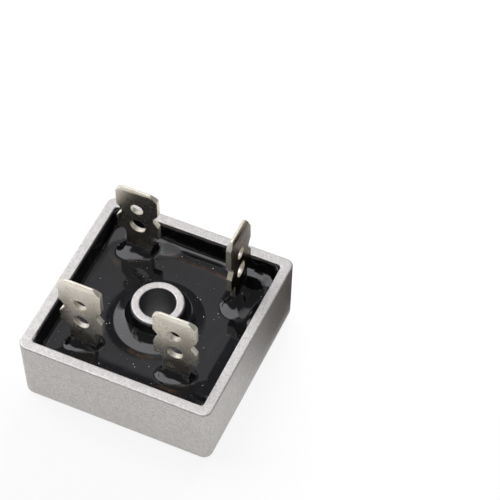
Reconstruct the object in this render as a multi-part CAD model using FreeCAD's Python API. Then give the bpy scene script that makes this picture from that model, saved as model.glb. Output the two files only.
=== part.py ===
import FreeCAD, Part
import math
import os

# A bridge rectifier in a square cast case, with four blade terminals and a screw hole through its middle.
# Lengths are in millimetres. The origin is the middle of the screw hole on the flat mounting face,
# +Z points along the hole towards the terminals, and X and Y run along the sides of the case.

# Case: a square cup with slightly leaning walls
case_width = 28.5
case_height = 11.1
wall_lean = 0.2
case_corner_radius = 1.3
mounting_edge_radius = 0.9
rim_width = 1.52
rim_outer_radius = 0.25
rim_inner_radius = 0.15
floor_thickness = 2.5
pocket_lean = 0.2
pocket_corner_radius = 0.5
pocket_floor_radius = 0.35

# Boss in the middle of the cup and the screw hole through it
boss_diameter = 7.3
boss_lean = 0.1
boss_foot_radius = 0.4
boss_rim_radius = 0.2
screw_hole_diameter = 5.0
screw_hole_chamfer = 0.3

# Insulating sheet on the floor
sheet_thickness = 0.4
sheet_wall_gap = 0.6
sheet_boss_gap = 0.6
sheet_corner_radius = 1.0

# Copper conductors: two plates below the chips and two straps above them, each round one corner
conductor_wall_gap = 1.8
conductor_boss_gap = 1.38
conductor_corner_radius = 0.8
plate_thickness = 0.8
strap_thickness = 0.6
arm_past_chip = 0.5
contact_width = 3.4
contact_drop = 0.3
contact_flare = 0.25

# Diode chips and solder
chip_width = 4.4
chip_thickness = 0.3
chip_edge_bevel = 0.1
solder_thickness = 0.1
solder_flare = 0.15
foot_solder_thickness = 0.12
foot_solder_margin = 0.4

# Terminal blades, all blanked with one outline from the upper hole down
blade_width = 6.35
blade_thickness = 0.8
stem_width = 3.86
upper_hole_rise = 5.6
upper_hole_diameter = 1.9
lower_hole_diameter = 2.4
hole_pitch = 3.62
notch_depth = 0.75
notch_length = 2.6
notch_waist = 0.5
shoulder_below_hole = 1.5
outline_corner_radius = 0.18
stem_corner_radius = 0.35
tip_corner_radius = 0.45
tip_bevel_depth = 0.24
tip_bevel_height = 0.6
bend_radius = 0.5
foot_length = 2.8

# How far each tip stands over its upper hole, and how wide and high its corners are cut
positive_tip_rise = 4.7
negative_tip_rise = 4.3
rear_tip_rise = 3.75
front_tip_rise = 3.75
tip_cut_width = 1.1
tip_cut_height = 0.9
positive_far_cut_height = 2.3

# Where each terminal stands, from the middle of its conductor's corner
positive_offset_x = 0.25
positive_offset_y = 0.65
negative_offset_x = 0.65
negative_offset_y = -0.05
rear_offset_x = 0.35
rear_offset_y = 1.88
front_offset_x = -1.6
front_offset_y = 0.6

# Resin fill, with the hollow rims that it left where it climbed before it set
resin_depth_below_rim = 3.5
resin_skin = 0.14
resin_skin_below_rim = 0.3
resin_hollow_corner = 1.7
wall_climb = 1.4
boss_climb = 1.7
stem_climb = 0.7
stem_skin = 0.06

# Heights and places that follow from the sizes above
sheet_top = floor_thickness + sheet_thickness
plate_top = sheet_top + plate_thickness
chip_bottom = plate_top + solder_thickness
chip_top = chip_bottom + chip_thickness
contact_bottom = chip_top + solder_thickness
strap_bottom = contact_bottom + contact_drop
strap_top = strap_bottom + strap_thickness
resin_level = case_height - resin_depth_below_rim
upper_hole_height = case_height + upper_hole_rise
boss_top_radius = boss_diameter / 2
boss_foot = boss_top_radius + boss_lean
screw_hole_radius = screw_hole_diameter / 2
over_cut = 1.0

UP = FreeCAD.Vector(0, 0, 1)
ORIGIN = FreeCAD.Vector(0, 0, 0)
ACROSS = FreeCAD.Vector(1, 0, 0)
BACK = FreeCAD.Vector(0, 1, 0)


def outside_half(height):
    """Half the case's outside width at a height: the walls lean in towards the mounting face."""
    return case_width / 2 - wall_lean * (case_height - height) / case_height


def pocket_half(height):
    """Half the cup's inside width at a height: its walls lean in towards the floor."""
    pocket_depth = case_height - floor_thickness
    return case_width / 2 - rim_width - pocket_lean * (case_height - height) / pocket_depth


conductor_outer = pocket_half(floor_thickness) - conductor_wall_gap
conductor_inner = boss_foot + conductor_boss_gap
conductor_middle = (conductor_inner + conductor_outer) / 2
arm_end = chip_width / 2 + arm_past_chip


def outline(corners, radii):
    """A closed wire through the corners, each rounded by its radius (0 leaves it sharp)."""
    count = len(corners)
    starts = []
    middles = []
    ends = []
    for index in range(count):
        here = corners[index]
        to_last = (corners[index - 1] - here).normalize()
        to_next = (corners[(index + 1) % count] - here).normalize()
        half_angle = to_last.getAngle(to_next) / 2
        setback = radii[index] / math.tan(half_angle)
        inwards = (to_last + to_next).normalize() if radii[index] else to_last
        starts.append(here + to_last * setback)
        ends.append(here + to_next * setback)
        middles.append(here + inwards * (radii[index] / math.sin(half_angle) - radii[index]))
    edges = []
    for index in range(count):
        if radii[index]:
            edges.append(Part.Arc(starts[index], middles[index], ends[index]).toShape())
        following = starts[(index + 1) % count]
        if ends[index].distanceToPoint(following) > 1e-7:
            edges.append(Part.LineSegment(ends[index], following).toShape())
    return Part.Wire(edges)


def rectangle(half_x, half_y, radius, height):
    """A wire: a level rectangle round the Z axis with round corners."""
    corners = [
        FreeCAD.Vector(half_x * sign_x, half_y * sign_y, height)
        for sign_x, sign_y in ((-1, -1), (1, -1), (1, 1), (-1, 1))
    ]
    return outline(corners, [radius] * 4)


def leaning_block(low_half, high_half, low, high, radius):
    """A square block whose half width changes evenly from its lower to its upper end."""
    wires = [rectangle(low_half, low_half, radius, low), rectangle(high_half, high_half, radius, high)]
    return Part.makeLoft(wires, True, True)


def flared_pad(half_x, half_y, low, high, low_flare):
    """A thin pad whose lower edge stands out by low_flare all round."""
    low_wire = rectangle(half_x + low_flare, half_y + low_flare, 0, low)
    return Part.makeLoft([low_wire, rectangle(half_x, half_y, 0, high)], True, True)


def prism(wire, along):
    """The solid that a flat wire sweeps along a vector."""
    return Part.Face(wire).extrude(along)


def turned(corners, radii):
    """The solid that an outline of (radius, height) corners makes when it turns round the Z axis."""
    points = [FreeCAD.Vector(radius, 0, height) for radius, height in corners]
    return Part.Face(outline(points, radii)).revolve(ORIGIN, UP, 360)


def edges_at(shape, height, least_reach=0, most_reach=math.inf):
    """The edges that lie level at a height and reach between two distances from the Z axis in X or Y."""
    chosen = []
    for edge in shape.Edges:
        box = edge.BoundBox
        level = abs(box.ZMin - height) < 1e-6 and abs(box.ZMax - height) < 1e-6
        reach = max(abs(box.XMin), abs(box.XMax), abs(box.YMin), abs(box.YMax))
        if level and least_reach < reach < most_reach:
            chosen.append(edge)
    return chosen


def make_pocket():
    """The space inside the cup's walls, from the floor to a little over the rim, boss not counted."""
    top = case_height + over_cut
    block = leaning_block(
        pocket_half(floor_thickness), pocket_half(top), floor_thickness, top, pocket_corner_radius
    )
    return block.makeFillet(pocket_floor_radius, edges_at(block, floor_thickness))


def make_boss():
    """The round boss, flared where it grows out of the floor and rounded at its top."""
    corners = [
        (0, floor_thickness - floor_thickness / 2),
        (boss_foot + over_cut, floor_thickness - floor_thickness / 2),
        (boss_foot + over_cut, floor_thickness),
        (boss_foot, floor_thickness),
        (boss_top_radius, case_height),
        (0, case_height),
    ]
    return turned(corners, [0, 0, 0, boss_foot_radius, boss_rim_radius, 0])


def make_screw_hole():
    """What the screw hole takes away: a bore with a chamfer below and a rounded mouth above."""
    mouth = screw_hole_radius + boss_rim_radius
    chamfer_radius = screw_hole_radius + screw_hole_chamfer
    corners = [
        (0, -over_cut),
        (chamfer_radius, -over_cut),
        (chamfer_radius, 0),
        (screw_hole_radius, screw_hole_chamfer),
        (screw_hole_radius, case_height),
        (mouth + over_cut, case_height),
        (mouth + over_cut, case_height + over_cut),
        (0, case_height + over_cut),
    ]
    return turned(corners, [0, 0, 0, 0, boss_rim_radius, 0, 0, 0])


def make_case(pocket, boss):
    """The cast cup with its boss and through hole."""
    body = leaning_block(outside_half(0), outside_half(case_height), 0, case_height, case_corner_radius)
    body = body.makeFillet(mounting_edge_radius, edges_at(body, 0))
    body = body.cut(pocket)
    rim_middle = case_width / 2 - rim_width / 2
    body = body.makeFillet(rim_outer_radius, edges_at(body, case_height, rim_middle))
    body = body.makeFillet(rim_inner_radius, edges_at(body, case_height, 0, rim_middle))
    return body.fuse(boss).cut(make_screw_hole()).removeSplitter()


def make_sheet():
    """The insulating sheet, with a hole that clears the boss."""
    half = pocket_half(floor_thickness) - sheet_wall_gap
    sheet = prism(rectangle(half, half, sheet_corner_radius, floor_thickness), UP * sheet_thickness)
    clear_radius = boss_foot + sheet_boss_gap
    return sheet.cut(Part.makeCylinder(clear_radius, sheet_thickness, UP * floor_thickness))


def corner_conductor(bottom, thickness, quarter_turns):
    """An L of sheet copper round the +X +Y corner, then turned by quarter turns about the Z axis."""
    corners = [
        FreeCAD.Vector(x, y, bottom)
        for x, y in (
            (-arm_end, conductor_inner),
            (conductor_inner, conductor_inner),
            (conductor_inner, -arm_end),
            (conductor_outer, -arm_end),
            (conductor_outer, conductor_outer),
            (-arm_end, conductor_outer),
        )
    ]
    shape = prism(outline(corners, [conductor_corner_radius] * 6), UP * thickness)
    shape.rotate(ORIGIN, UP, 90 * quarter_turns)
    return shape


def make_strap(quarter_turns):
    """An upper strap, with a pressed contact that reaches down to each of its two chips."""
    shape = corner_conductor(strap_bottom, strap_thickness, quarter_turns)
    half = contact_width / 2
    wide = half + contact_flare
    narrow = half - contact_flare
    contact = flared_pad(wide, wide, contact_bottom, strap_bottom, -contact_flare)
    dimple = flared_pad(narrow, narrow, strap_top - contact_drop, strap_top, -contact_flare)
    for turns in (quarter_turns, quarter_turns + 1):
        for piece, adds in ((contact, True), (dimple, False)):
            placed = piece.copy()
            placed.translate(ACROSS * conductor_middle)
            placed.rotate(ORIGIN, UP, 90 * turns)
            shape = shape.fuse(placed) if adds else shape.cut(placed)
    return shape.removeSplitter()


def make_chip():
    """One diode chip at the origin of its own seat, with bevelled upper edges."""
    half = chip_width / 2
    top_half = half - chip_edge_bevel
    bevel_start = chip_top - chip_edge_bevel
    base = prism(rectangle(half, half, 0, chip_bottom), UP * (bevel_start - chip_bottom))
    return base.fuse(flared_pad(top_half, top_half, bevel_start, chip_top, chip_edge_bevel))


def make_lower_solder():
    """The solder under a chip, spread a little at its foot."""
    return flared_pad(chip_width / 2, chip_width / 2, plate_top, chip_bottom, solder_flare)


def make_upper_solder():
    """The solder between a chip and the strap's contact above it."""
    return flared_pad(contact_width / 2, contact_width / 2, chip_top, contact_bottom, solder_flare)


def make_terminal(seat, tip_rise, far_cut_height):
    """A bent blade that stands on the origin's Z axis, its width along X and its foot towards +Y.

    seat is the height of the foot's underside. far_cut_height is the tip's cut at the +X corner.
    """
    half = blade_width / 2
    stem_half = stem_width / 2
    face = blade_thickness / 2
    tip = upper_hole_height + tip_rise
    lower_hole_height = upper_hole_height - hole_pitch
    shoulder = lower_hole_height - shoulder_below_hole
    notch_top = upper_hole_height
    slope = (notch_length - notch_waist) / 2
    side = [
        (half, notch_top, outline_corner_radius),
        (half - notch_depth, notch_top - slope, outline_corner_radius),
        (half - notch_depth, notch_top - slope - notch_waist, outline_corner_radius),
        (half, notch_top - notch_length, outline_corner_radius),
        (half, shoulder, outline_corner_radius),
        (stem_half, shoulder, stem_corner_radius),
        (stem_half, seat - over_cut, 0),
    ]
    top = [
        (-half, tip - tip_cut_height, tip_corner_radius),
        (-half + tip_cut_width, tip, tip_corner_radius),
        (half - tip_cut_width, tip, tip_corner_radius),
        (half, tip - far_cut_height, tip_corner_radius),
    ]
    mirrored = [(-x, z, radius) for x, z, radius in reversed(side)]
    front = top + side + mirrored
    blank = prism(
        outline([FreeCAD.Vector(x, -foot_length, z) for x, z, radius in front], [row[2] for row in front]),
        BACK * (2 * foot_length),
    )
    foot_end = foot_length - face
    bent = [
        (-face, seat, bend_radius + blade_thickness),
        (foot_end, seat, 0),
        (foot_end, seat + blade_thickness, 0),
        (face, seat + blade_thickness, bend_radius),
        (face, tip - tip_bevel_height, 0),
        (face - tip_bevel_depth, tip, 0),
        (tip_bevel_depth - face, tip, 0),
        (-face, tip - tip_bevel_height, 0),
    ]
    strip = prism(
        outline([FreeCAD.Vector(-half, y, z) for y, z, radius in bent], [row[2] for row in bent]),
        ACROSS * blade_width,
    )
    terminal = blank.common(strip)
    holes = ((upper_hole_height, upper_hole_diameter), (lower_hole_height, lower_hole_diameter))
    for height, diameter in holes:
        start = FreeCAD.Vector(0, -face, height)
        terminal = terminal.cut(Part.makeCylinder(diameter / 2, blade_thickness, start, BACK))
    return terminal


def make_foot_solder(seat):
    """The solder under a terminal's foot, in the same place as the terminal that it carries."""
    foot_half = (foot_length - bend_radius - blade_thickness) / 2
    solder = flared_pad(stem_width / 2, foot_half, seat - foot_solder_thickness, seat, foot_solder_margin)
    solder.translate(BACK * (foot_length - blade_thickness / 2 - foot_half))
    return solder


def make_collar():
    """A rim of resin that climbs a stem, standing on a slab under the resin's level."""
    half_x = stem_width / 2 + stem_skin
    half_y = blade_thickness / 2 + stem_skin
    slab_x = half_x + stem_climb + stem_skin
    slab_y = half_y + stem_climb + stem_skin
    slab = prism(rectangle(slab_x, slab_y, 0, resin_level - over_cut), UP * over_cut)
    post = prism(rectangle(half_x, half_y, 2 * stem_skin, resin_level), UP * (stem_climb + stem_skin))
    collar = slab.fuse(post)
    return collar.makeFillet(stem_climb, edges_at(collar, resin_level, 0, half_x + stem_skin))


def make_resin_boss_rim():
    """The resin's skin on the boss, flared at its foot where it climbed."""
    skin_top = case_height - resin_skin_below_rim
    inner = boss_top_radius + resin_skin
    corners = [
        (0, resin_level - over_cut),
        (inner + boss_climb + over_cut, resin_level - over_cut),
        (inner + boss_climb + over_cut, resin_level),
        (inner, resin_level),
        (inner, skin_top + over_cut),
        (0, skin_top + over_cut),
    ]
    return turned(corners, [0, 0, 0, boss_climb, 0, 0])


def make_resin(pocket, boss, collars, buried):
    """The resin: the cup's space up to its level, rims and skin included, less all that it holds."""
    skin_top = case_height - resin_skin_below_rim
    reach = case_width
    below_skin_top = Part.makeBox(reach, reach, skin_top, FreeCAD.Vector(-reach / 2, -reach / 2, 0))
    above = case_height + over_cut
    low_half = pocket_half(resin_level) - resin_skin
    high_half = pocket_half(above) - resin_skin
    hollow = leaning_block(low_half, high_half, resin_level, above, resin_hollow_corner)
    hollow = hollow.makeFillet(wall_climb, edges_at(hollow, resin_level))
    hollow = hollow.cut([make_resin_boss_rim()] + collars)
    resin = pocket.common(below_skin_top).cut([hollow, boss])
    return resin.cut(buried)


def main():
    pocket = make_pocket()
    boss = make_boss()
    pieces = {
        "case": make_case(pocket, boss),
        "insulating_sheet": make_sheet(),
        "positive_plate": corner_conductor(sheet_top, plate_thickness, 0),
        "negative_plate": corner_conductor(sheet_top, plate_thickness, 2),
        "ac_strap_rear": make_strap(1),
        "ac_strap_front": make_strap(3),
    }
    layers = (("chip", make_chip), ("solder_under", make_lower_solder), ("solder_over", make_upper_solder))
    for turns, side in enumerate(("right", "rear", "left", "front")):
        for name, make in layers:
            piece = make()
            piece.translate(ACROSS * conductor_middle)
            piece.rotate(ORIGIN, UP, 90 * turns)
            pieces[name + "_" + side] = piece
    seat_on_plate = plate_top + foot_solder_thickness
    seat_on_strap = strap_top + foot_solder_thickness
    positive_place = (conductor_middle + positive_offset_x, conductor_middle + positive_offset_y)
    negative_place = (-conductor_middle + negative_offset_x, -conductor_middle + negative_offset_y)
    rear_place = (-conductor_middle + rear_offset_x, conductor_middle + rear_offset_y)
    front_place = (conductor_middle + front_offset_x, -conductor_middle + front_offset_y)
    terminals = (
        ("positive", positive_place, seat_on_plate, positive_tip_rise, positive_far_cut_height, 90),
        ("negative", negative_place, seat_on_plate, negative_tip_rise, tip_cut_height, 0),
        ("ac_rear", rear_place, seat_on_strap, rear_tip_rise, tip_cut_height, 180),
        ("ac_front", front_place, seat_on_strap, front_tip_rise, tip_cut_height, 180),
    )
    collars = []
    for name, (place_x, place_y), seat, tip_rise, far_cut_height, turn in terminals:
        place = FreeCAD.Vector(place_x, place_y, 0)
        parts = (make_terminal(seat, tip_rise, far_cut_height), make_foot_solder(seat), make_collar())
        for part in parts:
            part.rotate(ORIGIN, UP, turn)
            part.translate(place)
        pieces[name + "_terminal"] = parts[0]
        pieces["solder_foot_" + name] = parts[1]
        collars.append(parts[2])
    buried = [shape for name, shape in pieces.items() if name != "case"]
    pieces["potting"] = make_resin(pocket, boss, collars, buried)
    for name, shape in pieces.items():
        shape.exportStep("parts/" + name + ".step")
        print(name, len(shape.Solids), shape.isValid(), round(shape.Volume, 3))


main()
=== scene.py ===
import math

import bpy
import bmesh
import numpy as np
from mathutils import Matrix, Vector
from mathutils.geometry import delaunay_2d_cdt


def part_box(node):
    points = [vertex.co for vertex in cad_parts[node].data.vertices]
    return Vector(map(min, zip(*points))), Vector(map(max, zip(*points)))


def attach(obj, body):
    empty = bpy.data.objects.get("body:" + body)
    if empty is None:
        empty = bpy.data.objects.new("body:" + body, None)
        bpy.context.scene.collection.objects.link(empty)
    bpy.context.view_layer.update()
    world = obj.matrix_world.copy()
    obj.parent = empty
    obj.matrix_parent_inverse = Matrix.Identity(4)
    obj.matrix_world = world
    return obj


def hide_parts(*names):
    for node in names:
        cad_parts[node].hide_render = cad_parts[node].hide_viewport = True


# The looks of a square bridge rectifier: a blasted cast case, four plated blades and glossy black resin.
# Lengths are in millimetres until a mesh is made. The origin is the middle of the screw hole on the
# mounting face, X runs along the front of the case and Y towards its back.
MM = 0.001

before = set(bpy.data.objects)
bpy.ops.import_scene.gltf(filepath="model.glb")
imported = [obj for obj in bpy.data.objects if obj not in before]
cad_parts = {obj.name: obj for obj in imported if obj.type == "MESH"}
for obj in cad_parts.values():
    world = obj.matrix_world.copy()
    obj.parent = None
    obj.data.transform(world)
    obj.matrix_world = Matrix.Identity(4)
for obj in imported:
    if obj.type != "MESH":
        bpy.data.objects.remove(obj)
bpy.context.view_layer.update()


def corners_of(node):
    """The lowest and highest corner of a node, in millimetres."""
    low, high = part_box(node)
    return np.array(low) / MM, np.array(high) / MM


# Loops round the part: steps round each corner and along each side
corner_steps = 12
side_steps = 30

# Case: what the frame gives, and the cast wall's own sizes
case_low, case_high = corners_of("case")
case_width = float(case_high[0] - case_low[0])
case_height = float(case_high[2])
wall_lean = 0.2
case_corner_radius = 1.3
mounting_edge_radius = 0.9
rim_width = 1.52
rim_outer_radius = 0.25
rim_inner_radius = 0.15
rim_ground_depth = (0.16, 0.05)
floor_thickness = 2.5
pocket_lean = 0.2
pocket_corner_radius = 0.5
pocket_floor_radius = 0.35
boss_top_radius = 3.65
boss_lean = 0.1
boss_foot_radius = 0.4
boss_rim_radius = 0.2
screw_hole_radius = 2.5
screw_hole_chamfer = 0.3
bore_colour_depth = (0.12, 0.02)

# Bare metal on the inner face of the front wall, painted near white and matte: a painted light band that the
# blades reflect. How far behind the case's front it begins and ends, how far under the rim it begins, and how
# far to the sides it goes
bare_painted_light_begins = (0.2, 1.0)
bare_painted_light_ends = (3.0, 2.4)
bare_painted_light_depth = (0.05, 0.15)
bare_painted_light_sides = (13.2, 12.9)

# Blades, and the stems where they come out of the resin
stem_width = 3.86
blade_thickness = 0.8
blade_edge_round = 0.05
blade_edge_angle = 32
# Where the turned blade's flat faces are painted dark brown as a painted reflection: to the right, then
# behind
dark_reflection_right_of = (7.0, 7.5)
dark_reflection_behind = (0.0, 1.0)
# Each blade's foot points this way, and the resin climbed its stem inside this oval in plan: the place of
# its middle, its two radii, its turn in degrees and its power, which is 2 for an ellipse and more for a
# squarer one. The last number is how high it climbed there, as a share of the usual height
terminals = {
    "negative_terminal": ("back", (-7.35, -8.0, 2.9, 1.7, 30, 2.0), 1.0),
    "ac_rear_terminal": ("front", (-7.8, 9.35, 3.3, 2.05, 30, 2.0), 1.0),
    "ac_front_terminal": ("front", (6.3, -7.7, 3.0, 1.95, 20, 2.0), 1.0),
    "positive_terminal": ("left", (9.3, 7.55, 2.8, 4.0, 0, 2.6), 1.6),
}

# Resin: its level, its skin on the metal, how far the rings of its mesh reach and how many they are, and how
# it climbed: each climb's width, height and power
resin_level = case_height - 3.5
resin_skin = 0.14
resin_skin_top = case_height - 0.3
resin_skin_start = resin_level + 1.5
resin_skin_shares = (0.12, 0.35, 0.6, 0.8, 0.93)
resin_lip_share = 0.985
resin_lip_thinning = 0.6
resin_hollow_corner = 1.7
resin_top_corner = 1.0
resin_split = 6.6
resin_spacing = 0.25
resin_spacing_jitter = 0.05
wall_rings = (2.6, 16)
boss_rings = (3.2, 18)
stem_rings = (1.2, 9)
resin_swell = 0.015
resin_swell_scale = 220.0
skin_waver = 0.16
skin_waver_scale = 700.0
wall_climb = (2.0, 0.4, 10.0)
wall_toe_width = 2.6
wall_toe_height = 0.18
front_toe_width = 4.4
front_toe_height = 0.42
toe_power = 1.3
boss_climb = (6.0, 1.25, 6.5)
stem_climb = (2.1, 1.0, 1.9)
front_wall_share = 0.4
rear_corner_share = 0.15

# Where the front wall is bare, where its foot is broad, and where the resin hardly climbed at the rear right
# corner: how far to the front or back, then to the right, each from where it begins to where it is whole
bare_wall = ((10.6, 12.2), (-12.4, -11.2))
broad_foot = ((6.5, 8.5), (-11.0, -8.0))
rear_corner = ((9.5, 11.5), (5.5, 7.5))

# Where the resin set higher: the place in plan, the two radii and the height
resin_mounds = (
    (-6.2, 13.2, 5.0, 5.0, 0.5),
    (-13.5, 13.2, 4.8, 5.2, 0.5),
    (9.0, 16.6, 6.5, 7.5, 1.05),
    (13.4, 6.2, 2.8, 4.6, 0.8),
)

# Brown lines painted on the resin as painted reflections: how wide their core and their whole are, and lines
# in plan from one point to the next
brown_reflection_width = (0.1, 0.5)
brown_reflection_lines = (
    ((-3.6, 10.6), (-1.0, 10.3), (3.0, 10.2), (6.2, 9.9)),
    ((-10.9, 7.2), (-9.2, 5.9)),
    ((-1.3, -6.6), (0.6, -6.9), (2.0, -6.4)),
    ((5.0, -10.4), (7.4, -10.2)),
)

# Dust: motes on each square millimetre, their sizes, and how level the resin is where they lie
motes_per_square = 0.45
smallest_mote = 0.03
largest_mote = 0.13
level_enough = 0.95

# Camera: where it stands, and its axes, worked out from the case's edges in the photograph
camera_place = (88.811, -163.361, 263.747)
camera_right = (0.91038, 0.41376, -0.00285)
camera_down = (0.32627, -0.72208, -0.61004)
camera_forward = (-0.25446, 0.55444, -0.79237)
camera_lens = 165.82

# Studio: how bright its parts are, where 1 is white
room_strength = 0.22
ceiling_strength = 0.65
patch_strength = 0.8
screen_strength = 3.0
backdrop_strength = 1.3
floor_strength = 0.86
floor_gloss_share = 0.8

# Studio: the part's tilts at which a glossy surface shows the overhead screen, the ceiling and its brighter
# patch, from where each begins to where it is whole or the other way, and between which bearings in degrees
screen_begins = (0.115, 0.135)
screen_ends = (0.66, 0.56)
screen_front = (-0.50, -0.44)
screen_bearings = (194, 288)
ceiling_middle = (0.060, 0.045)
ceiling_ends = (0.42, 0.30)
ceiling_bearings = (264, 350)
patch_begins = (0.10, 0.13)
patch_ends = (0.46, 0.38)
patch_bearings = (266, 345)
backdrop_bearings = (30, 150)
backdrop_top = (0.42, 0.34)

# Studio: the edges of the dark card, a painted shade beside the part, and the lamp behind the part
card_left = 12.5
card_inner_left = 14.8
card_right = 42.0
card_front = -18.0
card_inner_front = 15.2
card_back = 19.0
card_top = 14.0
card_bottom = 0.1
card_fade_back = (-5.0, 13.0)
card_fade_down = (14.0, 8.0)
lamp_power = 0.17
lamp_width = 90.0
lamp_height = 30.0
lamp_place = (0.0, 100.0, 50.0)
lamp_aim = (0.0, -12.7, 9.5)


# Shader and geometry graphs


class Signal:
    """A socket of a graph's node. Sums, products and powers of signals add the Math nodes for them."""

    def __init__(self, graph, node, output=0):
        self.graph = graph
        self.node = node
        self.socket = node.outputs[output]

    def out(self, name):
        """Another output of the same node."""
        return Signal(self.graph, self.node, name)

    def _math(self, operation, first, second):
        return self.graph.add("ShaderNodeMath", {"operation": operation}, {0: first, 1: second})

    def __add__(self, other):
        return self._math("ADD", self, other)

    def __radd__(self, other):
        return self._math("ADD", other, self)

    def __sub__(self, other):
        return self._math("SUBTRACT", self, other)

    def __rsub__(self, other):
        return self._math("SUBTRACT", other, self)

    def __mul__(self, other):
        return self._math("MULTIPLY", self, other)

    def __rmul__(self, other):
        return self._math("MULTIPLY", other, self)

    def __truediv__(self, other):
        return self._math("DIVIDE", self, other)

    def __pow__(self, other):
        return self._math("POWER", self, other)

    def at_least(self, other):
        return self._math("MAXIMUM", self, other)

    def above(self, other):
        return self._math("GREATER_THAN", self, other)

    def size(self):
        return self._math("ABSOLUTE", self, 0.0)


class Graph:
    """A node tree that is filled from an empty start."""

    def __init__(self, tree):
        self.tree = tree
        tree.nodes.clear()

    def add(self, kind, settings=None, values=None):
        """A node of this kind: its settings first, then its sockets' values or links."""
        node = self.tree.nodes.new(kind)
        for name, value in (settings or {}).items():
            if name == "stops":
                ramp = node.color_ramp
                while len(ramp.elements) < len(value):
                    ramp.elements.new(1.0)
                for element, (position, colour) in zip(ramp.elements, value):
                    element.position = position
                    element.color = colour
            else:
                setattr(node, name, value)
        for key, value in (values or {}).items():
            if isinstance(value, Signal):
                self.tree.links.new(value.socket, node.inputs[key])
            else:
                node.inputs[key].default_value = value
        return Signal(self, node) if node.outputs else node

    def mix(self, factor, first, second):
        """Between two colours."""
        blend = self.add("ShaderNodeMix", {"data_type": "RGBA"}, {0: factor, 6: first, 7: second})
        return blend.out(2)

    def place(self, stretch=(1, 1, 1), turn=(0, 0, 0)):
        """The object's own coordinates in millimetres, stretched or turned."""
        source = self.add("ShaderNodeTexCoord").out("Object")
        scale = tuple(value / MM for value in stretch)
        return self.add("ShaderNodeMapping", None, {"Vector": source, "Scale": scale, "Rotation": turn})

    def noise(self, place, size, detail=2.0, rough=0.5):
        """Soft noise whose blots are about this large in the place's unit, from 0 to 1."""
        values = {"Vector": place, "Scale": 1.0 / size, "Detail": detail, "Roughness": rough}
        return self.add("ShaderNodeTexNoise", None, values)

    def steps(self, value, low, high, least=0.0, most=1.0):
        """A smooth rise from least to most while the value goes from low to high."""
        settings = {"interpolation_type": "SMOOTHSTEP"}
        values = {"Value": value, "From Min": low, "From Max": high, "To Min": least, "To Max": most}
        return self.add("ShaderNodeMapRange", settings, values)

    def bump(self, height, strength, distance):
        """Relief of a height from 0 to 1, this many millimetres deep."""
        values = {"Height": height, "Strength": strength, "Distance": distance * MM}
        return self.add("ShaderNodeBump", None, values)

    def axes(self, vector):
        """A vector taken apart: its outputs are X, Y and Z."""
        return self.add("ShaderNodeSeparateXYZ", None, {0: vector})

    def kept(self, name):
        """A number from 0 to 1 that is stored on the piece's points or faces."""
        return self.add("ShaderNodeAttribute", {"attribute_name": name}).out("Fac")

    def end(self, kind, surface):
        """Closes a material's or the world's tree."""
        self.add(kind, None, {"Surface": surface})


def empty_material(name):
    """A material and its graph, still to be filled."""
    material = bpy.data.materials.new(name)
    material.use_nodes = True
    return material, Graph(material.node_tree)


def finish(name, **sockets):
    """Turns a function into one that makes a Principled material: it fills the graph and gives the colour,
    roughness, normal and metallic share, or only the first of these. The sockets named here are fixed."""

    def of_build(build):
        def make():
            material, graph = empty_material(name)
            values = dict(sockets)
            values.update(zip(("Base Color", "Roughness", "Normal", "Metallic"), build(graph)))
            graph.end("ShaderNodeOutputMaterial", graph.add("ShaderNodeBsdfPrincipled", None, values))
            return material

        return make

    return of_build


# Finishes


@finish("blasted_aluminium")
def blasted_aluminium(graph):
    """Cast aluminium, blasted to an even fine grain, with faint clouds and a few darker pits.

    The rim is ground a little brighter and the bore is darker. The bare metal inside the front wall is
    painted
    near white and matte: a painted light band that the blades reflect.
    """
    place = graph.place()
    clouds = graph.noise(place, 5.0, 3.0)
    grain = graph.noise(place, 0.16, 2.0, 0.6)
    coarse = graph.noise(place, 0.42, 2.0)
    pits = graph.steps(graph.noise(place, 0.3, 1.0), 0.70, 0.78)
    tone = graph.steps(grain * 0.7 + coarse * 0.3, 0.32, 0.68)
    colour = graph.mix(tone, (0.495, 0.478, 0.464, 1), (0.70, 0.678, 0.66, 1))
    colour = graph.mix(graph.steps(clouds, 0.3, 0.7) * 0.25, colour, (0.535, 0.515, 0.495, 1))
    colour = graph.mix(pits * 0.35, colour, (0.36, 0.35, 0.34, 1))
    height = grain * 0.6 + coarse * 0.4 - pits * 0.3
    plan = graph.axes(place)
    from_axis = (plan.out("X") ** 2 + plan.out("Y") ** 2) ** 0.5
    behind_front = plan.out("Y") + outside_half(0)
    under_rim = case_height - plan.out("Z")
    ground = graph.steps(under_rim, *rim_ground_depth)
    bore = graph.steps(from_axis - screw_hole_radius, *bore_colour_depth)
    # Painted light: the bare inner face of the front wall is mixed towards near white and made matte, so the
    # blades reflect it bright
    bare = graph.steps(behind_front, *bare_painted_light_begins) * graph.steps(behind_front, *bare_painted_light_ends)
    bare = bare * graph.steps(under_rim, *bare_painted_light_depth)
    bare = bare * graph.steps(plan.out("X").size(), *bare_painted_light_sides)
    colour = graph.mix(ground * 0.05, colour, (0.99, 0.98, 0.95, 1))
    colour = graph.mix(bore * 0.8, colour, (0.13, 0.13, 0.135, 1))
    colour = graph.mix(bare * 0.7, colour, (0.93, 0.91, 0.87, 1))
    rough = 0.60 - tone * 0.12 + bare * 0.3
    return colour, rough, graph.bump(height, 0.55, 0.05), 1.0 - bare


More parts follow.
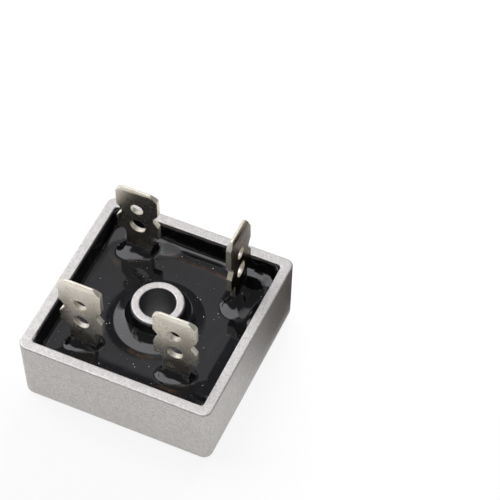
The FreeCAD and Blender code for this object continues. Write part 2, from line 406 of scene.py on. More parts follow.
@finish("plated_blade", Metallic=1.0)
def plated_blade(graph):
    """Warm grey plating over stamped brass: fine lengthwise rub marks, faint stains and small specks.

    The flat faces of the turned blade at the rear right are painted dark brown: a painted dark reflection.
    """
    place = graph.place()
    long_rub = graph.noise(graph.place(stretch=(1, 1, 0.12)), 0.16, 2.0)
    stains = graph.noise(place, 1.8, 3.0)
    specks = graph.steps(graph.noise(place, 0.32, 1.0), 0.75, 0.79)
    colour = graph.mix(graph.steps(stains, 0.35, 0.7), (0.80, 0.76, 0.67, 1), (0.73, 0.68, 0.58, 1))
    cut = graph.kept("cut_edge")
    plan = graph.axes(place)
    # Painted reflection: the turned blade's flat faces, but not its cut edges, are darkened to brown
    turned = graph.steps(plan.out("X"), *dark_reflection_right_of) * graph.steps(plan.out("Y"), *dark_reflection_behind)
    tarnish_and_painted_reflection = turned * (1.0 - cut) * graph.steps(stains, 0.15, 0.45, 0.75)
    colour = graph.mix(tarnish_and_painted_reflection, colour, (0.19, 0.145, 0.105, 1))
    colour = graph.mix(specks * 0.4, colour, (0.42, 0.37, 0.30, 1))
    rough = 0.24 + graph.steps(stains, 0.3, 0.8) * 0.06 + long_rub * 0.04 + cut * 0.18
    height = long_rub * 0.7 + graph.noise(place, 0.5, 2.0) * 0.3
    return colour, rough, graph.bump(height, 0.06, 0.01)


@finish("black_resin", IOR=1.5)
def black_resin(graph):
    """Poured black resin: glossy, a touch wavy, with faint smears that dull it and patchy brown lines of
    painted reflection.
    """
    place = graph.place()
    smears = graph.steps(graph.noise(graph.place(stretch=(1, 0.5, 1)), 1.6, 4.0), 0.45, 0.75)
    fine = graph.noise(place, 0.25, 2.0)
    colour = graph.mix(smears * 0.6, (0.004, 0.004, 0.005, 1), (0.010, 0.010, 0.012, 1))
    patchy = graph.steps(graph.noise(place, 1.3, 3.0), 0.36, 0.55, 0.4)
    # Painted reflection: patchy brown lines mixed into the colour along the lines kept on the points
    colour = graph.mix(graph.kept("residue") * patchy, colour, (0.042, 0.022, 0.012, 1))
    height = graph.noise(place, 2.6, 2.0) * 0.9 + fine * 0.04
    return colour, 0.035 + smears * 0.07, graph.bump(height, 0.12, 0.05)


@finish("pale_dust", Roughness=0.9)
def dust(graph):
    """Pale dust that settled on the resin."""
    tone = graph.noise(graph.place(), 1.5, 1.0)
    colour = graph.mix(tone, (0.50, 0.50, 0.52, 1), (0.85, 0.84, 0.82, 1))
    return (colour,)


@finish("rolled_copper", Metallic=1.0)
def rolled_copper(graph):
    """Rolled copper with a faint grain along it and warm tarnish."""
    rolled = graph.noise(graph.place(stretch=(0.15, 1, 1)), 0.2, 2.0)
    tarnish_and_painted_reflection = graph.steps(graph.noise(graph.place(), 2.2, 3.0), 0.4, 0.7)
    colour = graph.mix(tarnish_and_painted_reflection, (0.86, 0.44, 0.29, 1), (0.60, 0.26, 0.16, 1))
    return colour, 0.26 + tarnish_and_painted_reflection * 0.18, graph.bump(rolled, 0.3, 0.01)


@finish("pressed_ceramic")
def pressed_ceramic(graph):
    """A white ceramic sheet with a chalky fine grain."""
    grain = graph.noise(graph.place(), 0.12, 3.0)
    colour = graph.mix(grain, (0.78, 0.77, 0.73, 1), (0.90, 0.89, 0.86, 1))
    return colour, 0.5 + grain * 0.2, graph.bump(grain, 0.3, 0.01)


@finish("sawn_silicon", Metallic=0.7)
def sawn_silicon(graph):
    """Grey silicon with a bluish shift and fine saw marks."""
    marks = graph.noise(graph.place(stretch=(0.1, 1, 1)), 0.08, 1.0)
    colour = graph.mix(graph.noise(graph.place(), 1.2), (0.15, 0.16, 0.19, 1), (0.27, 0.28, 0.31, 1))
    return colour, 0.22 + marks * 0.15, graph.bump(marks, 0.2, 0.006)


@finish("soft_solder", Metallic=1.0)
def soft_solder(graph):
    """Solder that froze with a dull crystal pattern."""
    place = graph.place()
    crystals = graph.add("ShaderNodeTexVoronoi", None, {"Vector": place, "Scale": 2.5}).out("Distance")
    colour = graph.mix(crystals, (0.62, 0.62, 0.63, 1), (0.42, 0.42, 0.44, 1))
    return colour, 0.3 + crystals * 0.3, graph.bump(crystals, 0.3, 0.02)


# Meshes


def linked(name, data):
    """A new object in the scene."""
    thing = bpy.data.objects.new(name, data)
    bpy.context.scene.collection.objects.link(thing)
    return thing


def dressed(name, mesh, material):
    """A smooth object of one material."""
    mesh.polygons.foreach_set("use_smooth", [True] * len(mesh.polygons))
    mesh.materials.clear()
    mesh.materials.append(material)
    return linked(name, mesh)


def store(mesh, label, values, domain="POINT"):
    """Keeps a number for each point or face."""
    mesh.attributes.new(label, "FLOAT", domain).data.foreach_set("value", [float(value) for value in values])


def merged_copy(node):
    """A CAD node's mesh with its loose triangles joined, as a bmesh."""
    tool = bmesh.new()
    tool.from_mesh(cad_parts[node].data)
    bmesh.ops.remove_doubles(tool, verts=tool.verts, dist=1e-7)
    return tool


def new_piece(name, points, faces, material):
    """A smooth mesh object from points in millimetres, its faces turned outwards."""
    mesh = bpy.data.meshes.new(name)
    mesh.from_pydata([tuple(float(value) * MM for value in point) for point in points], [], faces)
    tool = bmesh.new()
    tool.from_mesh(mesh)
    bmesh.ops.recalc_face_normals(tool, faces=tool.faces)
    tool.to_mesh(mesh)
    tool.free()
    return dressed(name, mesh, material)


def settled(piece):
    """The piece with its modifiers applied."""
    bpy.context.view_layer.update()
    result = bpy.data.meshes.new_from_object(piece.evaluated_get(bpy.context.evaluated_depsgraph_get()))
    piece.modifiers.clear()
    piece.data = result
    return piece


def square_loop(half, corner):
    """Points round a square with round corners, always as many."""
    straight = half - corner
    points = []
    for quarter in range(4):
        turn = quarter * math.pi / 2
        local = []
        for step in range(corner_steps + 1):
            angle = step / corner_steps * math.pi / 2
            local.append((straight + corner * math.cos(angle), straight + corner * math.sin(angle)))
        for step in range(1, side_steps):
            local.append((straight * (1 - 2 * step / side_steps), half))
        for x, y in local:
            points.append((x * math.cos(turn) - y * math.sin(turn), x * math.sin(turn) + y * math.cos(turn)))
    return np.array(points)


def round_loop(radius):
    """Points round a circle, in line with those of a square loop."""
    guide = square_loop(1.0, 0.25)
    return guide / np.linalg.norm(guide, axis=1)[:, None] * radius


def at_height(loop, height):
    """A flat loop's points with their height."""
    return np.column_stack([loop, np.full(len(loop), height)])


def ring_faces(loop_count, point_count):
    """Quads between loops of as many points, stored one after another, the last joined to the first."""
    faces = []
    for loop in range(loop_count):
        here = loop * point_count
        after = (loop + 1) % loop_count * point_count
        for point in range(point_count):
            beside = (point + 1) % point_count
            faces.append((here + point, here + beside, after + beside, after + point))
    return faces


def quarter_arc(steps):
    """Cosines and sines of even steps through a quarter turn."""
    angles = np.radians(np.linspace(0, 90, steps + 1))
    return list(zip(np.cos(angles), np.sin(angles)))


def outside_half(height):
    """Half the case's width at a height."""
    return case_width / 2 - wall_lean * (case_height - height) / case_height


def pocket_half(height):
    """Half the pocket's width at a height."""
    depth = case_height - floor_thickness
    return case_width / 2 - rim_width - pocket_lean * (case_height - height) / depth


def boss_radius(height):
    """The boss's radius at a height."""
    return boss_top_radius + boss_lean * (case_height - height) / (case_height - floor_thickness)


def cast_case(material):
    """The case as one closed skin, from its hole over the boss, the floor, the rim and the outside."""
    loops = []

    def add_round(radius, height):
        loops.append(at_height(round_loop(radius), height))

    def add_square(half, corner, height):
        loops.append(at_height(square_loop(half, corner), height))

    def add_between(end, shares):
        start = loops[-1]
        for share in shares:
            loops.append(start * (1 - share) + end * share)

    top = case_height
    # bore, from its chamfer up to its mouth
    add_round(screw_hole_radius + screw_hole_chamfer, 0.0)
    add_round(screw_hole_radius, screw_hole_chamfer)
    for height in np.linspace(screw_hole_chamfer + 0.1, top - boss_rim_radius - 0.1, 14):
        add_round(screw_hole_radius, height)
    for cosine, sine in quarter_arc(6):
        add_round(screw_hole_radius + boss_rim_radius * (1 - cosine), top - boss_rim_radius * (1 - sine))
    # the boss's top, its outer edge, its wall and its foot
    crown = boss_top_radius - boss_rim_radius
    for share in (0.1, 0.5, 0.9):
        mouth = screw_hole_radius + boss_rim_radius
        add_round(mouth + (crown - mouth) * share, top)
    for cosine, sine in quarter_arc(6):
        add_round(crown + boss_rim_radius * sine, top - boss_rim_radius * (1 - cosine))
    for height in np.linspace(top - boss_rim_radius - 0.1, floor_thickness + boss_foot_radius, 10):
        add_round(boss_radius(height), height)
    foot = boss_radius(floor_thickness)
    for cosine, sine in quarter_arc(5)[1:]:
        add_round(foot + boss_foot_radius * (1 - cosine), floor_thickness + boss_foot_radius * (1 - sine))
    # the floor, the pocket's wall and the rim
    floor_half = pocket_half(floor_thickness) - pocket_floor_radius
    add_between(at_height(square_loop(floor_half, 0.3), floor_thickness), (0.05, 0.3, 0.6, 0.95, 1.0))
    for cosine, sine in quarter_arc(5)[1:]:
        half = floor_half + pocket_floor_radius * sine
        add_square(half, pocket_corner_radius, floor_thickness + pocket_floor_radius * (1 - cosine))
    for height in np.linspace(floor_thickness + pocket_floor_radius + 0.3, top - rim_inner_radius - 0.1, 12):
        add_square(pocket_half(height), pocket_corner_radius, height)
    inner = pocket_half(top)
    for cosine, sine in quarter_arc(5):
        half = inner + rim_inner_radius * (1 - cosine)
        add_square(half, pocket_corner_radius, top - rim_inner_radius * (1 - sine))
    outer = case_width / 2 - rim_outer_radius
    add_between(at_height(square_loop(outer, case_corner_radius - rim_outer_radius), top), (0.06, 0.5, 0.94))
    for cosine, sine in quarter_arc(7):
        corner = case_corner_radius - rim_outer_radius * (1 - sine)
        add_square(outer + rim_outer_radius * sine, corner, top - rim_outer_radius * (1 - cosine))
    # the outside, the rounded lower edge and the mounting face
    for height in np.linspace(top - rim_outer_radius - 0.12, mounting_edge_radius + 0.1, 16):
        add_square(outside_half(height), case_corner_radius, height)
    for cosine, sine in quarter_arc(9):
        half = outside_half(0) - mounting_edge_radius * (1 - cosine)
        corner = case_corner_radius - 0.6 * mounting_edge_radius * (1 - cosine)
        add_square(half, corner, mounting_edge_radius * (1 - sine))
    add_between(at_height(round_loop(screw_hole_radius + screw_hole_chamfer), 0.0), (0.03, 0.4, 0.75, 0.97))
    return new_piece("cast_case", np.vstack(loops), ring_faces(len(loops), len(loops[0])), material)


def stem_place(node):
    """Where a blade's stem stands, and its half sizes along X and Y, from the node's box and its foot."""
    low, high = corners_of(node)
    middle = (low + high) / 2
    half_width = stem_width / 2
    half_thickness = blade_thickness / 2
    foot = terminals[node][0]
    if foot == "back":
        return (middle[0], low[1] + half_thickness), (half_width, half_thickness)
    if foot == "front":
        return (middle[0], high[1] - half_thickness), (half_width, half_thickness)
    return (high[0] - half_thickness, middle[1]), (half_thickness, half_width)


def square_distance(points, half, corner):
    """How far inside a square with round corners the points lie."""
    reach = np.abs(points) - (half - corner)
    outside = np.linalg.norm(np.maximum(reach, 0), axis=1)
    return corner - outside - np.minimum(reach.max(axis=1), 0)


def stem_distance(points, centre, halves):
    """How far outside a stem's rectangle the points lie."""
    reach = np.abs(points - np.array(centre)) - np.array(halves)
    return np.linalg.norm(np.maximum(reach, 0), axis=1) + np.minimum(reach.max(axis=1), 0)


def oval_share(points, centre, halves, oval):
    """0 on a stem, 1 on the oval round it and beyond, and evenly between them."""
    x, y, radius_x, radius_y, turn, power = oval
    away = points - np.array((x, y))
    cosine, sine = math.cos(math.radians(turn)), math.sin(math.radians(turn))
    along = away @ np.array((cosine, sine)) / radius_x
    across = away @ np.array((-sine, cosine)) / radius_y
    share = np.maximum((np.abs(along) ** power + np.abs(across) ** power) ** (1 / power), 1e-6)
    left = np.maximum(np.linalg.norm(away, axis=1) * (1 / share - 1), 0)
    inner = np.maximum(stem_distance(points, centre, halves), 0)
    return np.where(share < 1, inner / np.maximum(inner + left, 1e-6), 1.0)


def climb_steps(reach, count):
    """Offsets from a wall that lie closer together near it."""
    return [reach * (step / count) ** 1.5 for step in range(1, count + 1)]


def stem_loop(centre, halves, offset):
    """Points round a stem at an even distance from it."""
    points = []
    sides = ((1, 1), (-1, 1), (-1, -1), (1, -1))
    for quarter in range(4):
        corner = np.array(centre) + np.array(halves) * sides[quarter]
        steps = 5 if offset else 0
        for step in range(steps + 1):
            angle = (quarter + (step / steps if steps else 0)) * math.pi / 2
            points.append(corner + offset * np.array((math.cos(angle), math.sin(angle))))
        target = np.array(centre) + np.array(halves) * sides[(quarter + 1) % 4]
        outward = np.array((math.cos((quarter + 1) * math.pi / 2), math.sin((quarter + 1) * math.pi / 2)))
        length = np.linalg.norm(target - corner)
        pieces = max(2, round(length / 0.2))
        for step in range(1, pieces):
            points.append(corner + (target - corner) * step / pieces + outward * offset)
    return np.array(points)


def smooth_rise(values, low, high):
    """From 0 to 1 with a smooth start and end while the values go from low to high."""
    share = np.clip((values - low) / (high - low), 0, 1)
    return share * share * (3 - 2 * share)


def flat_field(boundary_loops, inner_loops, keep, filler):
    """Triangles between closed loops, kept where keep(centres) says so."""
    points = []
    edges = []
    for loop in boundary_loops + inner_loops:
        first = len(points)
        points.extend(loop)
        edges.extend((first + step, first + (step + 1) % len(loop)) for step in range(len(loop)))
    boundary_count = sum(len(loop) for loop in boundary_loops)
    ends = np.array(points)[np.array(edges)]
    along = np.linspace(0, 1, 13)[None, :, None]
    samples = ends[:, :1] + (ends[:, 1:] - ends[:, :1]) * along
    clear = keep(samples.reshape(-1, 2)).reshape(len(edges), -1).all(axis=1)
    edges = [edge for index, edge in enumerate(edges) if index < boundary_count or clear[index]]
    points.extend(filler)
    given = [Vector((float(x), float(y))) for x, y in points]
    made, _, triangles, origin, _, _ = delaunay_2d_cdt(given, edges, [], 0, 1e-6)
    flat = np.array([tuple(point) for point in made])
    corners = np.array(triangles)
    corners = corners[keep(flat[corners].mean(axis=1))]
    used, corners = np.unique(corners, return_inverse=True)
    place_of = {source: index for index, old in enumerate(used) for source in origin[old]}
    first = 0
    rims = []
    for loop in boundary_loops:
        rims.append([place_of[first + step] for step in range(len(loop))])
        first += len(loop)
    return flat[used], corners.reshape(-1, 3), rims


def named_graph(name, sizes):
    """A geometry graph with an input for the resin, a named one for each size, and an output."""
    tree = bpy.data.node_groups.new(name, "GeometryNodeTree")
    tree.interface.new_socket("Resin", in_out="INPUT", socket_type="NodeSocketGeometry")
    for label in sizes:
        tree.interface.new_socket(label, in_out="INPUT", socket_type="NodeSocketFloat")
    tree.interface.new_socket("Result", in_out="OUTPUT", socket_type="NodeSocketGeometry")
    graph = Graph(tree)
    return graph, graph.add("NodeGroupInput")


def end_graph(graph, geometry, material):
    """Ends a geometry graph in real geometry of one material."""
    real = graph.add("GeometryNodeRealizeInstances", None, {0: geometry})
    painted = graph.add("GeometryNodeSetMaterial", None, {"Geometry": real, "Material": material})
    graph.add("NodeGroupOutput", None, {0: painted})


def run_graph(piece, graph, sizes):
    """Puts a geometry graph on a piece, sets its named inputs and turns the result into a plain mesh."""
    modifier = piece.modifiers.new(graph.tree.name, "NODES")
    modifier.node_group = graph.tree
    for item in graph.tree.interface.items_tree:
        if item.in_out == "INPUT" and item.name in sizes:
            modifier[item.identifier] = sizes[item.name]
    return settled(piece)


def climb_up(resin, material):
    """Lifts the resin where it climbed, by a geometry graph that reads the distances kept on its points."""
    sizes = {
        "Level": resin_level * MM,
        "Skin Waver": skin_waver * MM,
        "Swell": resin_swell * MM,
    }
    for label, (width, height, power) in (("Wall", wall_climb), ("Boss", boss_climb), ("Stem", stem_climb)):
        sizes[label + " Climb Width"] = width * MM
        sizes[label + " Climb Height"] = height * MM
        sizes[label + " Climb Power"] = power
    graph, given = named_graph("climbing_resin", sizes)

    def kept(label):
        return graph.add("GeometryNodeInputNamedAttribute", {"data_type": "FLOAT"}, {"Name": label})

    def climb(label):
        distance = kept(label.lower() + "_distance")
        left = (1.0 - distance / given.out(label + " Climb Width")).at_least(0.0)
        return given.out(label + " Climb Height") * left ** given.out(label + " Climb Power")

    place = graph.add("GeometryNodeInputPosition")
    swell = graph.noise(place, 1 / resin_swell_scale, 1.0)
    waver = graph.noise(place, 1 / skin_waver_scale, 3.0)
    field = given.out("Level") + (swell - 0.5) * given.out("Swell")
    field = field + climb("Wall") * kept("wall_share") + climb("Boss") + kept("mound")
    field = field + climb("Stem") * kept("stem_share")
    top = kept("skin_top") - (waver - 0.35).at_least(0.0) * given.out("Skin Waver") * 4.0
    lifted = field + kept("skin_rise") * (top - field)
    axes = graph.axes(place)
    height = axes.out("Z") + kept("open_side") * (lifted - axes.out("Z"))
    moved = graph.add("ShaderNodeCombineXYZ", None, {0: axes.out("X"), 1: axes.out("Y"), 2: height})
    surface = graph.add("GeometryNodeSetPosition", None, {"Geometry": given.out("Resin"), "Position": moved})
    end_graph(graph, surface, material)
    return run_graph(resin, graph, sizes)


def lower_resin(node, height):
    """The part of a solid under a height, closed with a flat cut, as points and faces in millimetres."""
    tool = merged_copy(node)
    bmesh.ops.bisect_plane(
        tool, geom=tool.verts[:] + tool.edges[:] + tool.faces[:], plane_co=(0, 0, height * MM),
        plane_no=(0, 0, 1), clear_outer=True,
    )
    open_edges = [edge for edge in tool.edges if edge.is_boundary]
    bmesh.ops.triangle_fill(tool, edges=open_edges, use_beauty=True, normal=(0, 0, 1))
    tool.verts.index_update()
    points = [tuple(value / MM for value in vertex.co) for vertex in tool.verts]
    faces = [tuple(vertex.index for vertex in face.verts) for face in tool.faces]
    tool.free()
    return points, faces


def metal_distances(points, stems, half, corner, radius):
    """How far inside a pocket, outside a boss and outside the nearest stem the points lie."""
    wall = square_distance(points, half, corner)
    boss = np.linalg.norm(points, axis=1) - radius
    stem = np.min([stem_distance(points, *stem) for stem in stems], axis=0)
    return wall, boss, stem


def skin(on_skin, on_metal, lip, back_heights):
    """The skin up a metal face, over its lip and down behind it: loops, heights and shares of its rise,
    or None behind it."""
    loops = []
    for share in resin_skin_shares:
        height = resin_skin_start + share * (resin_skin_top - resin_skin_start)
        loops.append((on_skin(height, share), height, share))
    loops += [(lip, resin_skin_top, resin_lip_share), (on_metal(resin_skin_top), resin_skin_top, 1.0)]
    return loops + [(on_metal(height), height, None) for height in back_heights]


def wall_skin():
    """The skin up the pocket's wall."""

    def on_skin(height, share):
        return square_loop(pocket_half(height) - resin_skin, resin_hollow_corner * (1 - 0.3 * share))

    def on_metal(height):
        return square_loop(pocket_half(height), pocket_corner_radius)

    lip = square_loop(pocket_half(resin_skin_top) - resin_skin * resin_lip_thinning, resin_top_corner)
    return skin(on_skin, on_metal, lip, (resin_level + 0.3, resin_level, resin_split))


def boss_skin():
    """The skin up the boss."""

    def on_skin(height, _):
        return round_loop(boss_radius(height) + resin_skin)

    def on_metal(height):
        return round_loop(boss_radius(height))

    lip = round_loop(boss_top_radius + resin_skin * resin_lip_thinning)
    return skin(on_skin, on_metal, lip, (resin_skin_top - 1.0, resin_level, resin_split))


def surface_marks(plan, wall):
    """What holds at the resin's points in plan: the wall's climb, mounds, the skin's top and brown lines of
    painted reflection.
    """
    x, y = plan[:, 0], plan[:, 1]
    bare = smooth_rise(-y, *bare_wall[0]) * smooth_rise(x, *bare_wall[1])
    broad = smooth_rise(-y, *broad_foot[0]) * smooth_rise(x, *broad_foot[1])
    corner = smooth_rise(y, *rear_corner[0]) * smooth_rise(x, *rear_corner[1])
    wall_share = (1 - bare * (1 - front_wall_share)) * (1 - corner * (1 - rear_corner_share))
    toe_width = wall_toe_width + broad * (front_toe_width - wall_toe_width)
    toe_height = wall_toe_height + broad * (front_toe_height - wall_toe_height)
    mound = toe_height * np.clip(1 - wall / toe_width, 0, 1) ** toe_power
    for middle_x, middle_y, radius_x, radius_y, height in resin_mounds:
        away = np.hypot((x - middle_x) / radius_x, (y - middle_y) / radius_y)
        mound += height * (1 - smooth_rise(away, 0, 1))
    bare_top = resin_level + front_toe_height + wall_climb[1] * front_wall_share + 0.1
    skin_top = resin_skin_top - bare * (resin_skin_top - bare_top)
    # Brown lines of painted reflection: whole on each line, fading out to its sides
    residue = np.zeros(len(plan))
    for line in brown_reflection_lines:
        for start, end in zip(line, line[1:]):
            start, way = np.array(start), np.array(end) - np.array(start)
            along = np.clip((plan - start) @ way / (way @ way), 0, 1)
            away = np.linalg.norm(plan - start - along[:, None] * way, axis=1)
            residue = np.maximum(residue, 1 - smooth_rise(away, *brown_reflection_width))
    return {"wall_share": wall_share, "mound": mound * MM, "skin_top": skin_top * MM, "residue": residue}


def poured_resin(material):
    """The resin: its open surface, its skin on the metal and its body down to the split, with the
    distances by which climb_up lifts it."""
    stems = [stem_place(node) for node in terminals]
    inner_half = pocket_half(resin_level) - resin_skin
    skin_radius = boss_radius(resin_level) + resin_skin

    # the open surface, laid out flat
    wall_steps, boss_steps, stem_steps = (climb_steps(*item) for item in (wall_rings, boss_rings, stem_rings))
    boundary = [square_loop(inner_half, resin_hollow_corner), round_loop(skin_radius)]
    boundary += [stem_loop(*stem, 0.0) for stem in stems]
    rings = [
        square_loop(inner_half - offset, max(resin_hollow_corner - offset, 0.5)) for offset in wall_steps
    ]
    rings += [round_loop(skin_radius + offset) for offset in boss_steps]
    rings += [stem_loop(*stem, offset) for stem in stems for offset in stem_steps]

    def distances(points):
        return metal_distances(points, stems, inner_half, resin_hollow_corner, skin_radius)

    def in_resin(points):
        return np.min(distances(points), axis=0) > -1e-4

    random = np.random.default_rng(4)
    across = np.arange(-inner_half, inner_half, resin_spacing)
    grid = np.array([(x + resin_spacing / 2 * (row % 2), y) for row, y in enumerate(across) for x in across])
    grid = grid + random.uniform(-resin_spacing_jitter, resin_spacing_jitter, grid.shape)
    wall, boss, stem = distances(grid)
    clear = (wall > wall_steps[-1] + 0.1) & (boss > boss_steps[-1] + 0.1) & (stem > stem_steps[-1] + 0.1)
    flat, corners, rims = flat_field(boundary, rings, in_resin, grid[clear])

    # its distances: the first three from the metal, the last the share of the climb at the nearest stem
    wall, boss, _ = distances(flat)
    ovals = [oval_share(flat, *stem, terminals[node][1]) for node, stem in zip(terminals, stems)]
    stem_share = np.array([sizes[2] for sizes in terminals.values()])[np.argmin(ovals, axis=0)]
    from_stem = np.min(ovals, axis=0) * stem_climb[0]
    surface = [np.maximum(row, 0) for row in (wall, boss, from_stem, stem_share)]
    values = [list(row) for row in surface]
    points = [(x, y, resin_level) for x, y in flat]
    rise = [0.0] * len(points)
    open_side = [1.0] * len(points)
    faces = [tuple(int(corner) for corner in triangle) for triangle in corners]

    def grow(rim, loops):
        """Adds loops that start at a rim. Each is (points, height, share of the skin's rise or None)."""
        last = rim
        for loop, height, share in loops:
            first = len(points)
            points.extend((x, y, height) for x, y in loop)
            rise.extend([share or 0.0] * len(loop))
            open_side.extend([0.0 if share is None else 1.0] * len(loop))
            for row, far in zip(values, surface):
                row.extend(far[rim])
            here = list(range(first, first + len(loop)))
            for step in range(len(loop)):
                beside = (step + 1) % len(loop)
                faces.append((last[step], last[beside], here[beside], here[step]))
            last = here
        return last

    # the skin, the stems' pockets and the flat underside that joins them
    feet = [grow(rims[0], wall_skin()), grow(rims[1], boss_skin())]
    for stem, rim in zip(stems, rims[2:]):
        loop = stem_loop(*stem, 0.0)
        feet.append(grow(rim, [(loop, resin_level - 0.3, None), (loop, resin_split, None)]))

    def under_body(centres):
        half, radius = pocket_half(resin_split), boss_radius(resin_split)
        wall, boss, stem = metal_distances(centres, stems, half, pocket_corner_radius, radius)
        return (wall > -1e-3) & (boss > -4e-4) & (stem > -1e-3)

    under_loops = [np.array([points[index][:2] for index in foot]) for foot in feet]
    _, under_corners, under_rims = flat_field(under_loops, [], under_body, [])
    joined = {}
    for foot, rim in zip(feet, under_rims):
        joined.update(zip(rim, foot))
    for triangle in under_corners:
        faces.append(tuple(joined[int(corner)] for corner in reversed(triangle)))

    resin = new_piece("poured_resin", points, faces, material)
    marks = surface_marks(np.array(points)[:, :2], np.array(values[0]))
    marks.update({"skin_rise": rise, "open_side": open_side, "stem_share": values[3]})
    for label, row in zip(("wall_distance", "boss_distance", "stem_distance"), values):
        marks[label] = np.array(row) * MM
    for label, row in marks.items():
        store(resin.data, label, row)
    return resin


def stamped_blade(node, material):
    """A blade with its cut edges slightly rounded, from a merged copy of the solid."""
    tool = merged_copy(node)
    bmesh.ops.dissolve_limit(
        tool, angle_limit=math.radians(0.8), verts=tool.verts, edges=tool.edges, use_dissolve_boundaries=False
    )
    mesh = bpy.data.meshes.new("stamped_" + node)
    tool.to_mesh(mesh)
    tool.free()
    blade = dressed("stamped_" + node, mesh, material)
    bevel = blade.modifiers.new("cut_edges", "BEVEL")
    bevel.width = blade_edge_round * MM
    bevel.segments = 3
    bevel.limit_method = "ANGLE"
    bevel.angle_limit = math.radians(blade_edge_angle)
    settled(blade)
    blade.modifiers.new("even_faces", "WEIGHTED_NORMAL").weight = 90
    settled(blade)
    thin_axis = 0 if terminals[node][0] == "left" else 1
    store(blade.data, "cut_edge", [abs(face.normal[thin_axis]) < 0.7 for face in blade.data.polygons], "FACE")
    return blade


def scattered_dust(resin, material):
    """Pale motes on the resin where it is level, spread by a geometry graph with a fixed seed."""
    sizes = {
        "Motes per Area": motes_per_square / MM ** 2,
        "Smallest": smallest_mote * MM,
        "Largest": largest_mote * MM,
    }
    graph, given = named_graph("scattered_dust", sizes)
    up = graph.axes(graph.add("GeometryNodeInputNormal")).out("Z")
    spread = graph.add("GeometryNodeDistributePointsOnFaces", None, {
        "Mesh": given.out("Resin"), "Selection": up.above(level_enough),
        "Density": given.out("Motes per Area"), "Seed": 11,
    })
    mote = graph.add("GeometryNodeMeshIcoSphere", None, {"Radius": 1.0, "Subdivisions": 1})
    limits = {0: (0, 0, 0), 1: (6.28, 6.28, 6.28), "Seed": 3}
    turn = graph.add("FunctionNodeRandomValue", {"data_type": "FLOAT_VECTOR"}, limits)
    limits = {2: 0.0, 3: 1.0, "Seed": 5}
    chance = graph.add("FunctionNodeRandomValue", {"data_type": "FLOAT"}, limits).out(1)
    size = given.out("Smallest") + chance ** 5 * (given.out("Largest") - given.out("Smallest"))
    scale = graph.add("ShaderNodeCombineXYZ", None, {0: size, 1: size * 0.8, 2: size * 0.6})
    placed = graph.add("GeometryNodeInstanceOnPoints", None, {
        "Points": spread.out("Points"), "Instance": mote.out("Mesh"), "Rotation": turn, "Scale": scale,
    })
    end_graph(graph, placed, material)
    return run_graph(linked("resin_dust", resin.data.copy()), graph, sizes)


# Studio: floor, lamps, surroundings and camera


def pale_floor():
    """A plain pale floor, white to the camera and in reflections, that keeps the part's shadow."""
    mesh = bpy.data.meshes.new("floor")
    reach = 1.2
    corners = [(-reach, -reach, 0), (reach, -reach, 0), (reach, reach, 0), (-reach, reach, 0)]
    mesh.from_pydata(corners, [], [(0, 1, 2, 3)])
    material, graph = empty_material("pale_floor")
    path = graph.add("ShaderNodeLightPath")
    seen = path.out("Is Camera Ray") + path.out("Is Transmission Ray")
    seen = seen + path.out("Is Glossy Ray") * floor_gloss_share
    paint = graph.add("ShaderNodeBsdfDiffuse", None, {"Color": (0.80, 0.80, 0.79, 1)})
    white = graph.add("ShaderNodeEmission", None, {"Color": (1, 1, 1, 1), "Strength": 1.0})
    both = graph.add("ShaderNodeMixShader", None, {0: seen * floor_strength, 1: paint, 2: white})
    graph.end("ShaderNodeOutputMaterial", both)
    mesh.materials.append(material)
    linked("floor", mesh)


def painted_shade_card():
    """A bent dark card beside the part's right side and behind it: a painted shade that fades out towards the
    front and the top. Only glossy surfaces show it.
    """
    corners = [
        (card_left, card_back, card_top), (card_right, card_back, card_top),
        (card_left, card_back, card_bottom), (card_inner_left, card_back, card_bottom),
        (card_right, card_back, card_bottom), (card_left, card_inner_front, card_bottom),
        (card_inner_left, card_inner_front, card_bottom), (card_inner_left, card_front, card_bottom),
        (card_right, card_front, card_bottom),
    ]
    mesh = bpy.data.meshes.new("card")
    faces = [(0, 2, 3, 4, 1), (2, 5, 6, 3), (3, 6, 7, 8, 4)]
    mesh.from_pydata([[value * MM for value in corner] for corner in corners], [], faces)
    card = linked("card", mesh)
    card.visible_camera = False
    card.visible_diffuse = False
    card.visible_shadow = False
    material, graph = empty_material("painted_shade_card")
    plan = graph.axes(graph.place())
    clear = graph.add("ShaderNodeBsdfTransparent", None, {"Color": (1, 1, 1, 1)})
    # Painted shade: a dark sheet, fading out towards the front and the top
    paint = graph.add("ShaderNodeBsdfDiffuse", None, {"Color": (0.05, 0.043, 0.037, 1)})
    soft = graph.steps(plan.out("Y"), *card_fade_back) * graph.steps(plan.out("Z"), *card_fade_down)
    faded = graph.add("ShaderNodeMixShader", None, {0: soft, 1: clear, 2: paint})
    graph.end("ShaderNodeOutputMaterial", faded)
    mesh.materials.append(material)


def back_lamp():
    """A soft lamp behind the part, which glossy surfaces don't show: it lights the bare inner front wall."""
    data = bpy.data.lights.new("back_lamp", "AREA")
    data.shape = "RECTANGLE"
    data.size = lamp_width * MM
    data.size_y = lamp_height * MM
    data.energy = lamp_power
    lamp = linked("back_lamp", data)
    lamp.location = Vector(lamp_place) * MM
    way = Vector(lamp_aim) * MM - lamp.location
    lamp.rotation_euler = way.to_track_quat("-Z", "Y").to_euler()
    lamp.visible_camera = False
    lamp.visible_glossy = False


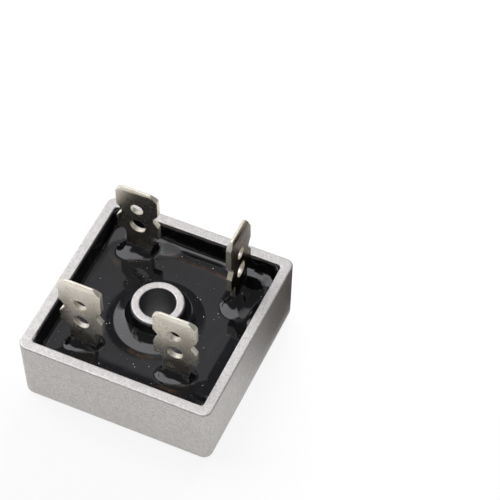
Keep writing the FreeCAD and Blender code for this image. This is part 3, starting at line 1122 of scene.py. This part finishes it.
def surroundings():
    """The studio round the part: a dim room, a pale ceiling, a bright screen on the left and a backdrop.

    Each is laid out by the tilt at which a glossy surface shows it to someone at the camera's first place.
    """
    world = bpy.data.worlds.new("studio")
    bpy.context.scene.world = world
    world.use_nodes = True
    graph = Graph(world.node_tree)
    way = graph.add("ShaderNodeTexCoord").out("Generated")
    to_camera = tuple(-Vector(camera_forward))
    half = graph.add("ShaderNodeVectorMath", {"operation": "ADD"}, {0: way, 1: to_camera})
    tilt = graph.axes(graph.add("ShaderNodeVectorMath", {"operation": "NORMALIZE"}, {0: half}))
    tilt_x, tilt_y = tilt.out("X"), tilt.out("Y")
    steep = (tilt_x ** 2 + tilt_y ** 2) ** 0.5
    rise = graph.axes(way).out("Z")

    def side(degrees, soft):
        """1 on the side of the upright plane through the view that faces this way."""
        angle = math.radians(degrees)
        return graph.steps(tilt_x * math.cos(angle) + tilt_y * math.sin(angle), -soft, soft)

    def between(bearings, soft):
        """1 where the tilt points between two bearings in degrees, less than half a turn apart."""
        first, last = bearings
        return side(first + 90, soft) * side(last - 90, soft)

    overhead = graph.steps(rise, 0.0, 0.05)
    screen = graph.steps(steep, *screen_begins) * graph.steps(steep, *screen_ends)
    screen = screen * between(screen_bearings, 0.02) * graph.steps(tilt_y, *screen_front)
    ceiling = graph.steps(steep, *ceiling_ends) * between(ceiling_bearings, 0.04) * (1.0 - screen)
    ceiling = graph.steps(steep, *ceiling_middle).at_least(ceiling)
    patch = graph.steps(steep, *patch_begins) * graph.steps(steep, *patch_ends)
    patch = patch * between(patch_bearings, 0.03) * (1.0 - screen)
    backdrop = between(backdrop_bearings, 0.1) * graph.steps(rise, *backdrop_top)
    lit = ceiling * ceiling_strength + patch * patch_strength + screen * screen_strength
    strength = room_strength + (lit + backdrop * backdrop_strength) * overhead
    path = graph.add("ShaderNodeLightPath")
    room = graph.add("ShaderNodeBackground", None, {"Color": (0.97, 0.97, 1.0, 1), "Strength": strength})
    white = graph.add("ShaderNodeBackground", None, {"Color": (1, 1, 1, 1), "Strength": 1.0})
    both = graph.add("ShaderNodeMixShader", None, {0: path.out("Is Camera Ray"), 1: room, 2: white})
    graph.end("ShaderNodeOutputWorld", both)


def camera():
    """The camera of the photograph."""
    data = bpy.data.cameras.new("camera")
    data.lens = camera_lens
    data.sensor_width = 36.0
    data.clip_start = 0.01
    data.clip_end = 10.0
    eye = linked("camera", data)
    right, down, forward = Vector(camera_right), Vector(camera_down), Vector(camera_forward)
    axes = Matrix((right, -down, -forward)).transposed().to_4x4()
    eye.matrix_world = Matrix.Translation(Vector(camera_place) * MM) @ axes
    bpy.context.scene.camera = eye


def main():
    scene = bpy.context.scene
    scene.view_settings.view_transform = "Standard"
    camera()
    surroundings()
    pale_floor()
    painted_shade_card()
    back_lamp()

    aluminium = blasted_aluminium()
    plating = plated_blade()
    resin_finish = black_resin()
    copper = rolled_copper()
    ceramic = pressed_ceramic()
    silicon = sawn_silicon()
    solder = soft_solder()

    case = cast_case(aluminium)
    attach(case, "root")
    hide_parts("case")

    resin = poured_resin(resin_finish)
    resin = climb_up(resin, resin_finish)
    points, faces = lower_resin("potting", resin_split)
    body = new_piece("resin_body", points, faces, resin_finish)
    motes = scattered_dust(resin, dust())
    tool = bmesh.new()
    tool.from_mesh(resin.data)
    tool.from_mesh(body.data)
    tool.to_mesh(resin.data)
    tool.free()
    bpy.data.objects.remove(body)
    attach(resin, "root")
    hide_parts("potting")
    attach(motes, "root")

    for node in terminals:
        blade = stamped_blade(node, plating)
        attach(blade, "root")
        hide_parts(node)

    finishes = (
        ("insulating", ceramic), ("positive_plate", copper), ("negative_plate", copper),
        ("ac_strap", copper), ("chip_", silicon), ("solder_", solder),
    )
    for name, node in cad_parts.items():
        for start, material in finishes:
            if name.startswith(start):
                node.data.materials.clear()
                node.data.materials.append(material)


main()
